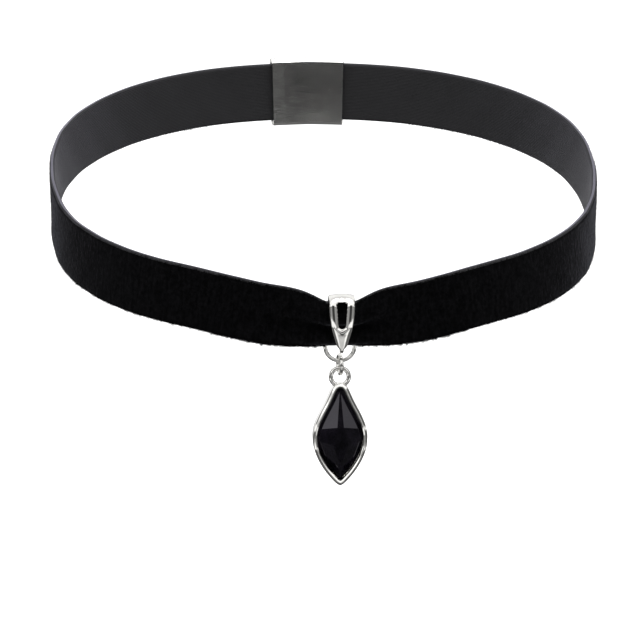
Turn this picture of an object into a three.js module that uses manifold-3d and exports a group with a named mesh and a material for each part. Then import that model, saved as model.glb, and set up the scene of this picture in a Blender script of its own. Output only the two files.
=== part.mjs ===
// A velvet ribbon choker, gathered at the front by a silver bail that carries a faceted black drop.
// Lengths are in millimetres, +Z is up and -Y is the front, where the drop hangs.
// The origin lies on the axis of the neck, level with the middle of the ribbon at the front.

import * as THREE from 'three';
import { mergeVertices } from 'three/addons/utils/BufferGeometryUtils.js';
import Module from 'manifold-3d';

// Gap kept between pieces that lie against each other
const GAP = 0.3;

// Ribbon: the loop's centre line seen from above, and how far the nape lies above the front
const LOOP_HALF_WIDTH = 57.4;
const LOOP_HALF_DEPTH = 54.5;
const NAPE_RISE = 31;
const RIBBON_WIDTH = 12.7;
const RIBBON_THICKNESS = 1.2;
// The selvedges are thinner than the velvet between them
const SELVEDGE_SHARE = 0.6;
const RIBBON_ENDS_APART = 1;
const RIBBON_FACETS_ACROSS = 16;

// Gather: how steeply the ribbon's folds slant in the bail, in degrees, and how far they run out
const FOLD_SLANT = 62;
const FOLD_REACH = 7.7;
// Above 1 the folds ease off softly beside the bail, at 1 they start to ease off sharply
const FOLD_FADE = 1.3;

// Clasp sleeve at the nape
const CLASP_LENGTH = 16;
const CLASP_WALL = 0.8;

// Bail: a tapering strap bent round the ribbon, with a slot in its front leaf
const BAIL_HALF_WIDTH = 2.65;
const BAIL_METAL = 0.8;
const BAIL_FOOT_METAL = 0.45;
const BAIL_EDGE_ROUND = 0.5;
const SLOT_HALF_WIDTH = 1.05;
const SLOT_END_HALF_WIDTH = 0.7;
const SLOT_LENGTH = 5.45;
const SLOT_ABOVE_EDGE = 4.65;
// How far the arch rises over the straight leaves, and how far the foot drops below them
const ARCH_RISE = 1.6;
const FOOT_DROP = 0.7;
const BAIL_RING_OUTER = 6.8;
const BAIL_RING_WIRE = 0.85;
// How deep the ring is sunk into the back leaf where it is soldered, and how low its centre hangs
const SOLDER_DEPTH = 0.25;
const BAIL_RING_BELOW_EDGE = 0.8;

// Links
const JUMP_RING_OUTER = 4.6;
const JUMP_RING_WIRE = 0.8;
// How far the jump ring is turned about the vertical, in degrees
const JUMP_RING_TURN = 8;
const DROP_LOOP_OUTER = 4.6;
const DROP_LOOP_WIRE = 0.95;
const LINK_SIDES = 16;
const WIRE_SIDES = 6;

// Drop: its outline's size, the setting's metal and the stone's cut
const DROP_HALF_WIDTH = 5.55;
const DROP_LENGTH = 21.2;
const SETTING_DEPTH = 3.5;
const SETTING_FLOOR = 0.8;
const SETTING_WALL = 0.7;
const RIM_ROUND = 0.3;
const LOOP_SUNK_IN_SETTING = 0.7;
// The loop stands behind the middle of the setting, so that the drop hangs plumb
const LOOP_BEHIND_MIDDLE = 0.3;
const GIRDLE_BELOW_RIM = 0.85;
const CROWN_HEIGHT = 1.5;
// The cutting centre lies this far down the drop, as a share of its length
const STONE_CENTRE = 0.54;

// The loop by angle from the front: rise as a share of the nape's rise, and the lean in degrees,
// positive where the upper edge leans in towards the neck
const ROUTE = [
  { angle: 0, rise: 0, lean: -6 },
  { angle: 8, rise: 0, lean: -5 },
  { angle: 15, rise: 0.01, lean: -4 },
  { angle: 22, rise: 0.045, lean: -2 },
  { angle: 30, rise: 0.086, lean: 0.5 },
  { angle: 45, rise: 0.142, lean: 2.5 },
  { angle: 60, rise: 0.218, lean: 1.5 },
  { angle: 75, rise: 0.324, lean: 0 },
  { angle: 90, rise: 0.505, lean: -1.5 },
  { angle: 105, rise: 0.69, lean: -1 },
  { angle: 130, rise: 0.87, lean: 0 },
  { angle: 155, rise: 0.97, lean: 0 },
  { angle: 180, rise: 1, lean: 0 },
];

// The gathered ribbon's folds from its lower to its upper edge: where each one ends as a share of
// the cloth's width, and which way it slants going up, 1 being outwards
const FOLDS = [
  { top: 0.19, slant: 1 },
  { top: 0.4, slant: -1 },
  { top: 0.7, slant: 1 },
  { top: 1, slant: -1 },
];

// Half the bail's width by height, both as shares, from the foot to the arch
const BAIL_TAPER = [
  { up: 0, wide: 0.14 },
  { up: 0.035, wide: 0.2 },
  { up: 0.06, wide: 0.31 },
  { up: 0.1, wide: 0.4 },
  { up: 0.2, wide: 0.52 },
  { up: 0.32, wide: 0.66 },
  { up: 0.44, wide: 0.79 },
  { up: 0.57, wide: 0.89 },
  { up: 0.75, wide: 0.97 },
  { up: 1, wide: 1 },
];

// The drop's outline from its top to its tip: shares of its length and of its half width
const DROP_OUTLINE = [
  { down: 0, wide: 0 },
  { down: 0.008, wide: 0.13 },
  { down: 0.03, wide: 0.235 },
  { down: 0.065, wide: 0.32 },
  { down: 0.13, wide: 0.43 },
  { down: 0.2, wide: 0.555 },
  { down: 0.3, wide: 0.755 },
  { down: 0.4, wide: 0.92 },
  { down: 0.48, wide: 0.99 },
  { down: 0.54, wide: 1 },
  { down: 0.64, wide: 0.955 },
  { down: 0.75, wide: 0.8 },
  { down: 0.86, wide: 0.545 },
  { down: 0.95, wide: 0.26 },
  { down: 0.988, wide: 0.1 },
  { down: 1, wide: 0 },
];

// The stone's crown, one row for each facet or mirrored pair: the way it faces in degrees from
// straight up, where it meets the table as a share of the drop's half width, and its slope
const CROWN_FACETS = [
  { name: 'top strip', facing: 0, reach: 0.42, slope: 12.5, mirrored: false },
  { name: 'upper mains', facing: 63, reach: 0.3, slope: 30, mirrored: true },
  { name: 'upper sides', facing: 75, reach: 0.22, slope: 27, mirrored: true },
  { name: 'lower sides', facing: 110, reach: 0.33, slope: 30.5, mirrored: true },
  { name: 'lower mains', facing: 126, reach: 0.62, slope: 50, mirrored: true },
  { name: 'bottom strip', facing: 180, reach: 0.84, slope: 23.5, mirrored: false },
];

const wasm = await Module();
wasm.setup();

// Solids from three.js geometry, and back again
function toSolid(geometry) {
  const bare = geometry.clone();
  bare.deleteAttribute('normal');
  bare.deleteAttribute('uv');
  const merged = mergeVertices(bare, 1e-5);
  return new wasm.Manifold(new wasm.Mesh({
    numProp: 3,
    vertProperties: new Float32Array(merged.attributes.position.array),
    triVerts: new Uint32Array(merged.index.array),
  }));
}

function toGeometry(solid) {
  const mesh = solid.getMesh();
  const geometry = new THREE.BufferGeometry();
  geometry.setAttribute('position', new THREE.BufferAttribute(mesh.vertProperties, 3));
  geometry.setIndex(new THREE.BufferAttribute(mesh.triVerts, 1));
  geometry.computeVertexNormals();
  return geometry;
}

// A smooth curve through one column of a table, level at both ends
function smoothColumn(rows, place, value) {
  const curve = new THREE.CubicInterpolant(
    rows.map((row) => row[place]),
    rows.map((row) => row[value]),
    1,
  );
  curve.settings = { endingStart: THREE.ZeroSlopeEnding, endingEnd: THREE.ZeroSlopeEnding };
  return (at) => curve.evaluate(at)[0];
}

// A solid skinned over sections of equal point count; ends are capped, or joined when it is a ring
function loft(sections, ring = false) {
  const count = sections[0].length;
  const positions = sections.flat().flatMap((point) => [point.x, point.y, point.z]);
  const triangles = [];
  const spans = ring ? sections.length : sections.length - 1;
  for (let i = 0; i < spans; i += 1) {
    const next = (i + 1) % sections.length;
    for (let j = 0; j < count; j += 1) {
      const k = (j + 1) % count;
      const [a, b] = [i * count + j, i * count + k];
      const [c, d] = [next * count + j, next * count + k];
      triangles.push(a, d, b, a, c, d);
    }
  }
  if (!ring) {
    // Each end is closed in strips between its two long sides
    const end = (sections.length - 1) * count;
    for (let j = 0; j < count / 2 - 1; j += 1) {
      const across = count - 1 - j;
      triangles.push(j, across - 1, across, j, j + 1, across - 1);
      triangles.push(end + j, end + across, end + across - 1, end + j, end + across - 1, end + j + 1);
    }
  }
  const geometry = new THREE.BufferGeometry();
  geometry.setAttribute('position', new THREE.Float32BufferAttribute(positions, 3));
  geometry.setIndex(triangles);
  geometry.computeVertexNormals();
  return geometry;
}

// Where the ribbon's middle runs, and which way its width and its outer face point
const riseAt = smoothColumn(ROUTE, 'angle', 'rise');
const leanAt = smoothColumn(ROUTE, 'angle', 'lean');

function loopPoint(degrees) {
  const angle = THREE.MathUtils.degToRad(degrees);
  return new THREE.Vector3(
    LOOP_HALF_WIDTH * Math.sin(angle),
    -LOOP_HALF_DEPTH * Math.cos(angle),
    NAPE_RISE * riseAt(Math.min(Math.abs(degrees), 180)),
  );
}

function loopFrame(degrees) {
  const angle = THREE.MathUtils.degToRad(degrees);
  const along = loopPoint(degrees + 0.5).sub(loopPoint(degrees - 0.5)).normalize();
  const level = new THREE.Vector3(
    LOOP_HALF_DEPTH * Math.sin(angle),
    -LOOP_HALF_WIDTH * Math.cos(angle),
    0,
  );
  const upright = new THREE.Vector3().crossVectors(level, along).normalize();
  const outward = new THREE.Vector3().crossVectors(along, upright);
  const lean = THREE.MathUtils.degToRad(leanAt(Math.abs(degrees)));
  return {
    middle: loopPoint(degrees),
    up: upright.clone().multiplyScalar(Math.cos(lean)).addScaledVector(outward, -Math.sin(lean)),
    out: outward.clone().multiplyScalar(Math.cos(lean)).addScaledVector(upright, Math.sin(lean)),
  };
}

function placeInFrame(frame, up, out) {
  return frame.middle.clone().addScaledVector(frame.up, up).addScaledVector(frame.out, out);
}

// The cloth's slant at a share of its width: nothing at each fold's ends, the most in its middle
function slantAt(share) {
  const index = FOLDS.findIndex((fold) => share < fold.top);
  const bottom = index > 0 ? FOLDS[index - 1].top : 0;
  const along = (share - bottom) / (FOLDS[index].top - bottom);
  return FOLDS[index].slant * THREE.MathUtils.degToRad(FOLD_SLANT) * Math.sin(Math.PI * along);
}

// The cloth's middle line from the lower to the upper edge. Folding takes up height, not cloth.
function clothLine(gathered) {
  const step = RIBBON_WIDTH / RIBBON_FACETS_ACROSS;
  const line = [{ up: -RIBBON_WIDTH / 2, out: 0 }];
  for (let i = 0; i < RIBBON_FACETS_ACROSS; i += 1) {
    const slant = gathered * slantAt((i + 0.5) / RIBBON_FACETS_ACROSS);
    line.push({ up: line[i].up + step * Math.cos(slant), out: line[i].out + step * Math.sin(slant) });
  }
  const outs = line.map((point) => point.out);
  const centre = (Math.max(...outs) + Math.min(...outs)) / 2;
  return line.map(({ up, out }) => ({ up, out: out - centre }));
}

// A closed outline round the cloth's middle line: up the outer face and down the inner face
function clothSection(gathered) {
  const line = clothLine(gathered);
  const faces = line.map((point, i) => {
    const before = line[Math.max(i - 1, 0)];
    const after = line[Math.min(i + 1, line.length - 1)];
    const across = Math.hypot(after.up - before.up, after.out - before.out);
    const edge = i === 0 || i === line.length - 1;
    const half = (RIBBON_THICKNESS / 2) * (edge ? SELVEDGE_SHARE : 1);
    const up = -half * (after.out - before.out) / across;
    const out = half * (after.up - before.up) / across;
    return {
      outer: { up: point.up + up, out: point.out + out },
      inner: { up: point.up - up, out: point.out - out },
    };
  });
  return [...faces.map((face) => face.outer), ...faces.map((face) => face.inner).reverse()];
}

// How much of the full gather is left at a distance along the ribbon from the front
function gatherAt(distance) {
  const beyondBail = Math.max(distance - BAIL_HALF_WIDTH - GAP, 0);
  return Math.exp(-((beyondBail / FOLD_REACH) ** FOLD_FADE));
}

// Angles at which the ribbon has a section: close together in the gather, wide apart elsewhere
function ribbonAngles() {
  const fine = THREE.MathUtils.radToDeg((BAIL_HALF_WIDTH + 2 * FOLD_REACH) / LOOP_HALF_WIDTH);
  const last = 180 - THREE.MathUtils.radToDeg(RIBBON_ENDS_APART / 2 / LOOP_HALF_WIDTH);
  const fineSteps = 13;
  const wideSteps = 27;
  const half = [];
  for (let i = 1; i <= fineSteps; i += 1) {
    half.push(fine * i / fineSteps);
  }
  for (let i = 1; i <= wideSteps; i += 1) {
    half.push(fine + (last - fine) * i / wideSteps);
  }
  return [...half.map((angle) => -angle).reverse(), 0, ...half];
}

function ribbonGeometry() {
  const sections = ribbonAngles().map((degrees) => {
    const distance = LOOP_HALF_WIDTH * THREE.MathUtils.degToRad(Math.abs(degrees));
    const frame = loopFrame(degrees);
    return clothSection(gatherAt(distance)).map(({ up, out }) => placeInFrame(frame, up, out));
  });
  return loft(sections);
}

// The clasp follows the ribbon round the nape: a flat sleeve, cut through by the ribbon's space
function sleeveSolid(halfWidth, halfThickness, halfLength) {
  const steps = 6;
  const corner = 0.6;
  const reach = THREE.MathUtils.radToDeg(halfLength / LOOP_HALF_WIDTH);
  const sections = [];
  for (let i = 0; i <= steps; i += 1) {
    const turned = reach * (2 * i / steps - 1);
    // The nape is at 180 degrees, where the angle changes sign
    const frame = loopFrame(turned < 0 ? 180 + turned : turned - 180);
    const outline = [
      [-halfWidth, halfThickness * corner],
      [-halfWidth + halfThickness * (1 - corner), halfThickness],
      [halfWidth - halfThickness * (1 - corner), halfThickness],
      [halfWidth, halfThickness * corner],
      [halfWidth, -halfThickness * corner],
      [halfWidth - halfThickness * (1 - corner), -halfThickness],
      [-halfWidth + halfThickness * (1 - corner), -halfThickness],
      [-halfWidth, -halfThickness * corner],
    ];
    sections.push(outline.map(([up, out]) => placeInFrame(frame, up, out)));
  }
  return toSolid(loft(sections));
}

function claspGeometry() {
  const innerWidth = RIBBON_WIDTH / 2 + GAP;
  const innerThickness = RIBBON_THICKNESS / 2 + GAP;
  const outside = sleeveSolid(innerWidth + CLASP_WALL, innerThickness + CLASP_WALL, CLASP_LENGTH / 2);
  return toGeometry(outside.subtract(sleeveSolid(innerWidth, innerThickness, CLASP_LENGTH / 2 + 1)));
}

// The space that the gathered ribbon fills inside the bail
const gathered = clothSection(1);
const clothTop = Math.max(...gathered.map((point) => point.up));
const clothBottom = Math.min(...gathered.map((point) => point.up));
const clothHalfDepth = Math.max(...gathered.map((point) => Math.abs(point.out)));
const clothEdges = gathered.filter(({ up }) => clothTop - up < GAP || up - clothBottom < GAP);
const edgeOut = Math.max(...clothEdges.map((point) => Math.abs(point.out)));

// The bail's strap, in the frame of the ribbon at the front: out is the way the leaf faces.
// Its arch and its foot are half ellipses that clear the ribbon's edges by the gap.
const bailInnerDepth = clothHalfDepth + GAP;
const bailHalfDepth = bailInnerDepth + BAIL_METAL / 2;
const bendOverEdge = Math.sqrt(1 - (edgeOut / bailInnerDepth) ** 2);
const leafTop = clothTop + GAP - (ARCH_RISE - BAIL_METAL / 2) * bendOverEdge;
const leafBottom = clothBottom - GAP + (FOOT_DROP - BAIL_FOOT_METAL / 2) * bendOverEdge;
const bailTop = leafTop + ARCH_RISE;

// The strap's middle line as a closed loop seen from the side, from the foot up the front leaf
function bailLine() {
  const leafSteps = 12;
  const bendSteps = 12;
  // The leaf's steps lie closest together at its foot, where it tapers the most
  const leafUp = (step) => leafBottom + (leafTop - leafBottom) * (step / leafSteps) ** 1.5;
  const line = [];
  for (let i = 0; i < leafSteps; i += 1) {
    line.push({ out: bailHalfDepth, up: leafUp(i) });
  }
  for (let i = 0; i < bendSteps; i += 1) {
    const turn = Math.PI * i / bendSteps;
    line.push({ out: bailHalfDepth * Math.cos(turn), up: leafTop + ARCH_RISE * Math.sin(turn) });
  }
  for (let i = leafSteps; i > 0; i -= 1) {
    line.push({ out: -bailHalfDepth, up: leafUp(i) });
  }
  for (let i = 0; i < bendSteps; i += 1) {
    const turn = Math.PI * i / bendSteps;
    line.push({
      out: -bailHalfDepth * Math.cos(turn),
      up: leafBottom - FOOT_DROP * Math.sin(turn),
    });
  }
  return line;
}

const taperAt = smoothColumn(BAIL_TAPER, 'up', 'wide');

function strapSolid() {
  const line = bailLine();
  const sections = line.map((point, i) => {
    const before = line[(i + line.length - 1) % line.length];
    const after = line[(i + 1) % line.length];
    const along = Math.hypot(after.out - before.out, after.up - before.up);
    const side = {
      out: (after.up - before.up) / along,
      up: -(after.out - before.out) / along,
    };
    const height = THREE.MathUtils.clamp((point.up - leafBottom) / (bailTop - leafBottom), 0, 1);
    const half = BAIL_HALF_WIDTH * taperAt(height);
    const sunk = THREE.MathUtils.clamp((leafBottom - point.up) / FOOT_DROP, 0, 1);
    const metal = THREE.MathUtils.lerp(BAIL_METAL, BAIL_FOOT_METAL, sunk);
    const flat = half - Math.min(BAIL_EDGE_ROUND, half / 2);
    const outline = [
      [-half, 0],
      [-flat, -metal / 2],
      [flat, -metal / 2],
      [half, 0],
      [flat, metal / 2],
      [-flat, metal / 2],
    ];
    return outline.map(([x, off]) => new THREE.Vector3(
      x,
      -(point.out + side.out * off),
      point.up + side.up * off,
    ));
  });
  return toSolid(loft(sections, true));
}

// The slot in the front leaf: wide at the arch, narrowing down to a round end
function slotSolid() {
  const end = SLOT_END_HALF_WIDTH;
  const shape = new THREE.Shape();
  shape.moveTo(-SLOT_HALF_WIDTH, SLOT_LENGTH);
  shape.lineTo(-end, end);
  shape.absarc(0, end, end, Math.PI, 2 * Math.PI, false);
  shape.lineTo(SLOT_HALF_WIDTH, SLOT_LENGTH);
  shape.closePath();
  const depth = 2 * BAIL_METAL + GAP;
  const geometry = new THREE.ExtrudeGeometry(shape, { depth, bevelEnabled: false, curveSegments: 8 });
  geometry.rotateX(Math.PI / 2);
  geometry.translate(0, -(clothHalfDepth + GAP / 2), clothBottom + SLOT_ABOVE_EDGE);
  return toSolid(geometry);
}

function linkGeometry(outer, wire) {
  return new THREE.TorusGeometry((outer - wire) / 2, wire / 2, WIRE_SIDES, LINK_SIDES);
}

// The ring stands behind the back leaf, facing forward, and is soldered to it
const ringMiddle = (BAIL_RING_OUTER - BAIL_RING_WIRE) / 2;
const ringOut = SOLDER_DEPTH - bailHalfDepth - BAIL_METAL / 2 - BAIL_RING_WIRE / 2;
const ringUp = clothBottom - BAIL_RING_BELOW_EDGE;

function bailGeometry() {
  const ring = linkGeometry(BAIL_RING_OUTER, BAIL_RING_WIRE);
  ring.rotateX(Math.PI / 2);
  ring.translate(0, -ringOut, ringUp);
  return toGeometry(strapSolid().subtract(slotSolid()).add(toSolid(ring)));
}

// Half of the drop's outline, set in from its edge: points from the top to the tip, x to the side
function dropHalf(inset) {
  const points = DROP_OUTLINE.map((row) => new THREE.Vector2(
    row.wide * DROP_HALF_WIDTH,
    -row.down * DROP_LENGTH,
  ));
  const curve = new THREE.SplineCurve(points);
  const steps = 40;
  const edge = curve.getPoints(10 * steps);
  const moved = [];
  for (let i = 0; i <= steps; i += 1) {
    const along = curve.getTangent(i / steps);
    const point = curve.getPoint(i / steps);
    moved.push(new THREE.Vector2(point.x + along.y * inset, point.y - along.x * inset));
  }
  // Where the outline bends more sharply than the inset, points land too near to it and are left out
  const clear = (point) => edge.every((near) => near.distanceTo(point) > 0.97 * inset);
  const kept = moved.filter((point) => point.x > 0.02 && clear(point));
  return [meetAxis(kept[1], kept[0]), ...kept, meetAxis(kept.at(-2), kept.at(-1))];
}

// Where the line through two points of the half outline crosses the middle
function meetAxis(far, near) {
  return new THREE.Vector2(0, near.y - (far.y - near.y) * near.x / (far.x - near.x));
}

function dropShape(inset) {
  const half = dropHalf(inset);
  const mirrored = half.slice(1, -1).reverse().map((point) => new THREE.Vector2(-point.x, point.y));
  return new THREE.Shape([...half, ...mirrored]);
}

// An extrusion of the drop's outline that stands from back to front, front being -Y
function dropPrism(inset, back, front) {
  const depth = front - back;
  const geometry = new THREE.ExtrudeGeometry(dropShape(inset), { depth, bevelEnabled: false });
  geometry.rotateX(Math.PI / 2);
  geometry.translate(0, -back, 0);
  return geometry;
}

// The setting and the stone share a frame: the drop's top is at the origin and its loop in y = 0
const settingBack = LOOP_BEHIND_MIDDLE - SETTING_DEPTH / 2;
const settingRim = LOOP_BEHIND_MIDDLE + SETTING_DEPTH / 2;
const loopMiddle = (DROP_LOOP_OUTER - DROP_LOOP_WIRE) / 2;
const loopUp = loopMiddle - LOOP_SUNK_IN_SETTING;

function settingGeometry() {
  const body = new THREE.ExtrudeGeometry(dropShape(RIM_ROUND), {
    depth: SETTING_DEPTH - 2 * RIM_ROUND,
    bevelThickness: RIM_ROUND,
    bevelSize: RIM_ROUND,
    bevelSegments: 3,
  });
  body.rotateX(Math.PI / 2);
  body.translate(0, -(settingBack + RIM_ROUND), 0);
  const cavity = dropPrism(SETTING_WALL, settingBack + SETTING_FLOOR, settingRim + 1);
  const loop = linkGeometry(DROP_LOOP_OUTER, DROP_LOOP_WIRE);
  loop.rotateX(Math.PI / 2);
  loop.translate(0, 0, loopUp);
  return toGeometry(toSolid(body).add(toSolid(loop)).subtract(toSolid(cavity)));
}

// Takes off all that stands proud of one facet's plane
function cutFacet(solid, facing, reach, slope, tableOut) {
  const size = 4 * DROP_LENGTH;
  const block = new THREE.BoxGeometry(size, size, size);
  block.translate(0, 0, size / 2);
  // The block's lower face is the facet: tipped by its slope and turned to the way that it faces
  block.rotateX(THREE.MathUtils.degToRad(-slope));
  block.translate(0, reach * DROP_HALF_WIDTH, 0);
  block.rotateZ(THREE.MathUtils.degToRad(-facing));
  block.rotateX(Math.PI / 2);
  block.translate(0, -tableOut, -STONE_CENTRE * DROP_LENGTH);
  return solid.subtract(toSolid(block));
}

function stoneGeometry() {
  const back = settingBack + SETTING_FLOOR + GAP;
  const table = settingRim - GIRDLE_BELOW_RIM + CROWN_HEIGHT;
  let solid = toSolid(dropPrism(SETTING_WALL + GAP, back, table));
  for (const { facing, reach, slope, mirrored } of CROWN_FACETS) {
    solid = cutFacet(solid, facing, reach, slope, table);
    if (mirrored) {
      solid = cutFacet(solid, -facing, reach, slope, table);
    }
  }
  return toGeometry(solid);
}

// Finishes
function velvet() {
  return new THREE.MeshStandardMaterial({ color: 0x08080a, roughness: 0.95, metalness: 0 });
}

function silver() {
  return new THREE.MeshStandardMaterial({ color: 0xd9d8d3, roughness: 0.18, metalness: 1 });
}

function jetGlass() {
  return new THREE.MeshStandardMaterial({ color: 0x060608, roughness: 0.06, metalness: 0 });
}

function piece(name, geometry, material) {
  const mesh = new THREE.Mesh(geometry, material);
  mesh.name = name;
  return mesh;
}

// The assembly
const choker = new THREE.Group();
choker.add(piece('ribbon', ribbonGeometry(), velvet()));
choker.add(piece('clasp', claspGeometry(), silver()));

// The bail leans with the ribbon that it holds
const front = loopFrame(0);
const frontTilt = Math.atan2(-front.up.y, front.up.z);
const bailSeat = new THREE.Group();
bailSeat.position.copy(front.middle);
bailSeat.rotation.x = frontTilt;
bailSeat.add(piece('bail', bailGeometry(), silver()));
choker.add(bailSeat);

// Everything below hangs plumb from the lowest wire of the bail's ring
const hangPoint = placeInFrame(front, ringUp - ringMiddle, ringOut);
const jumpMiddle = (JUMP_RING_OUTER - JUMP_RING_WIRE) / 2;
const jumpCentre = hangPoint.z + BAIL_RING_WIRE / 2 + GAP + JUMP_RING_WIRE / 2 - jumpMiddle;
const jumpRing = piece('jump_ring', linkGeometry(JUMP_RING_OUTER, JUMP_RING_WIRE), silver());
jumpRing.rotation.set(0, Math.PI / 2, THREE.MathUtils.degToRad(JUMP_RING_TURN), 'ZYX');
jumpRing.position.set(0, hangPoint.y, jumpCentre);
choker.add(jumpRing);

const jumpLowWire = jumpCentre - jumpMiddle;
const dropLoopCentre = jumpLowWire + JUMP_RING_WIRE / 2 + GAP + DROP_LOOP_WIRE / 2 - loopMiddle;
const drop = new THREE.Group();
drop.position.set(0, hangPoint.y, dropLoopCentre - loopUp);
drop.add(piece('pendant_setting', settingGeometry(), silver()));
drop.add(piece('pendant_stone', stoneGeometry(), jetGlass()));
choker.add(drop);

export default choker;
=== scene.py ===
"""Velvet ribbon choker with a silver bail and a faceted black drop.

Shapes are worked out in millimetres, +Z up and -Y the front, and stored in metres.
"""
import math
import random

import bmesh
import bpy
from mathutils import Matrix, Vector


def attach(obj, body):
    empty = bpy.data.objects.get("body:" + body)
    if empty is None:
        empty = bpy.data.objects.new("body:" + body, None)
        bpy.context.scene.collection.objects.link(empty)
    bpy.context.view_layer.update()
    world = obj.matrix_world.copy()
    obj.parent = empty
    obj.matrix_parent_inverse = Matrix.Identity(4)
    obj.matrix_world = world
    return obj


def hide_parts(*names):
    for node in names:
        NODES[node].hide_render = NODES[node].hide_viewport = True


MM = 0.001
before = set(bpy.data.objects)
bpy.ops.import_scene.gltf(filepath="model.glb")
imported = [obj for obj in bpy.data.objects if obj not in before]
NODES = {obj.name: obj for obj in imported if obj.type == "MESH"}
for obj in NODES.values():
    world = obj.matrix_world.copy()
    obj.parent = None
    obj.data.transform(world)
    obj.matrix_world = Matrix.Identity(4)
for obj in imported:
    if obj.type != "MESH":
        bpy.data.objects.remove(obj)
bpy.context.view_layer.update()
rng = random.Random(20)

# Sizes shared with the CAD model
GAP = 0.3
LOOP_HALF_WIDTH = 57.4
LOOP_HALF_DEPTH = 54.5
NAPE_RISE = 31
RIBBON_WIDTH = 12.7
RIBBON_THICKNESS = 1.2
SELVEDGE_SHARE = 0.6
RIBBON_ENDS_APART = 1
FOLD_SLANT = 62
FOLD_REACH = 7.7
FOLD_FADE = 1.3
BAIL_HALF_WIDTH = 2.65
BAIL_METAL = 0.8
BAIL_FOOT_METAL = 0.45
SLOT_HALF_WIDTH = 1.05
SLOT_END_HALF_WIDTH = 0.7
SLOT_LENGTH = 5.45
SLOT_ABOVE_EDGE = 4.65
ARCH_RISE = 1.6
FOOT_DROP = 0.7
BAIL_RING_OUTER = 6.8
BAIL_RING_WIRE = 0.85
SOLDER_DEPTH = 0.25
BAIL_RING_BELOW_EDGE = 0.8
JUMP_RING_OUTER = 4.6
JUMP_RING_WIRE = 0.8
JUMP_RING_TURN = 8
DROP_LOOP_OUTER = 4.6
DROP_LOOP_WIRE = 0.95
DROP_HALF_WIDTH = 5.55
DROP_LENGTH = 21.2
SETTING_DEPTH = 3.5
SETTING_FLOOR = 0.8
SETTING_WALL = 0.7
LOOP_SUNK_IN_SETTING = 0.7
LOOP_BEHIND_MIDDLE = 0.3

# Angle from the front, share of the rise, and lean, with both angles in degrees
ROUTE = [
    (0, 0, -6), (8, 0, -5), (15, 0.01, -4), (22, 0.045, -2), (30, 0.086, 0.5),
    (45, 0.142, 2.5), (60, 0.218, 1.5), (75, 0.324, 0), (90, 0.505, -1.5),
    (105, 0.69, -1), (130, 0.87, 0), (155, 0.97, 0), (180, 1, 0),
]
# Top of each fold as a share of the width, and which way it slants
FOLDS = [(0.19, 1), (0.4, -1), (0.7, 1), (1.0001, -1)]
# Share of the height, share of the half width
BAIL_TAPER = [
    (0, 0.14), (0.035, 0.2), (0.06, 0.31), (0.1, 0.4), (0.2, 0.52), (0.32, 0.66),
    (0.44, 0.79), (0.57, 0.89), (0.75, 0.97), (1, 1),
]
# Share of the length from the top, share of the half width
DROP_OUTLINE = [
    (0, 0), (0.008, 0.13), (0.03, 0.235), (0.065, 0.32), (0.13, 0.43), (0.2, 0.555),
    (0.3, 0.755), (0.4, 0.92), (0.48, 0.99), (0.54, 1), (0.64, 0.955), (0.75, 0.8),
    (0.86, 0.545), (0.95, 0.26), (0.988, 0.1), (1, 0),
]


# Curves and small helpers
def clamp(value):
    """The value, held between 0 and 1."""
    return min(max(value, 0), 1)


def ease(value):
    """A soft step from 0 to 1."""
    t = clamp(value)
    return t * t * (3 - 2 * t)


def direction(line, i):
    """The unit way along an open line in a plane, at one of its points."""
    before, after = line[max(i - 1, 0)], line[min(i + 1, len(line) - 1)]
    length = math.hypot(after[0] - before[0], after[1] - before[1])
    return (after[0] - before[0]) / length, (after[1] - before[1]) / length


def smooth_column(rows, column):
    """A smooth curve through one column of a table, level at both ends."""
    at = [row[0] for row in rows]
    val = [row[column] for row in rows]

    def evaluate(t):
        t = min(max(t, at[0]), at[-1])
        i = 1
        while i < len(at) - 1 and t >= at[i]:
            i += 1
        t0, t1 = at[i - 1], at[i]
        before, t_before = (i - 2, at[i - 2]) if i >= 2 else (i, 2 * t0 - t1)
        after, t_after = (i + 1, at[i + 1]) if i + 1 < len(at) else (i, 2 * t1 - t0)
        # Weights of the four values around t, where the table's steps may differ in length
        half = (t1 - t0) / 2
        wp = half / (t0 - t_before)
        wn = half / (t_after - t1)
        p = (t - t0) / (t1 - t0)
        sp = -wp * p ** 3 + 2 * wp * p ** 2 - wp * p
        s0 = (1 + wp) * p ** 3 + (-1.5 - 2 * wp) * p ** 2 + (-0.5 + wp) * p + 1
        s1 = (-1 - wn) * p ** 3 + (1.5 + wn) * p ** 2 + 0.5 * p
        sn = wn * p ** 3 - wn * p ** 2
        return sp * val[before] + s0 * val[i - 1] + s1 * val[i] + sn * val[after]

    return evaluate


rise_at = smooth_column(ROUTE, 1)
lean_at = smooth_column(ROUTE, 2)
taper_at = smooth_column(BAIL_TAPER, 1)


def loop_point(degrees):
    """The ribbon's middle line at an angle from the front."""
    angle = math.radians(degrees)
    return Vector((
        LOOP_HALF_WIDTH * math.sin(angle),
        -LOOP_HALF_DEPTH * math.cos(angle),
        NAPE_RISE * rise_at(min(abs(degrees), 180)),
    ))


def loop_frame(degrees):
    """Middle point of the ribbon, with the ways up, outward and along it."""
    angle = math.radians(degrees)
    along = (loop_point(degrees + 0.5) - loop_point(degrees - 0.5)).normalized()
    level = Vector((LOOP_HALF_DEPTH * math.sin(angle), -LOOP_HALF_WIDTH * math.cos(angle), 0))
    upright = level.cross(along).normalized()
    level_out = along.cross(upright)
    lean = math.radians(lean_at(min(abs(degrees), 180)))
    up = upright * math.cos(lean) - level_out * math.sin(lean)
    out = level_out * math.cos(lean) + upright * math.sin(lean)
    return loop_point(degrees), up, out, along


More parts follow.
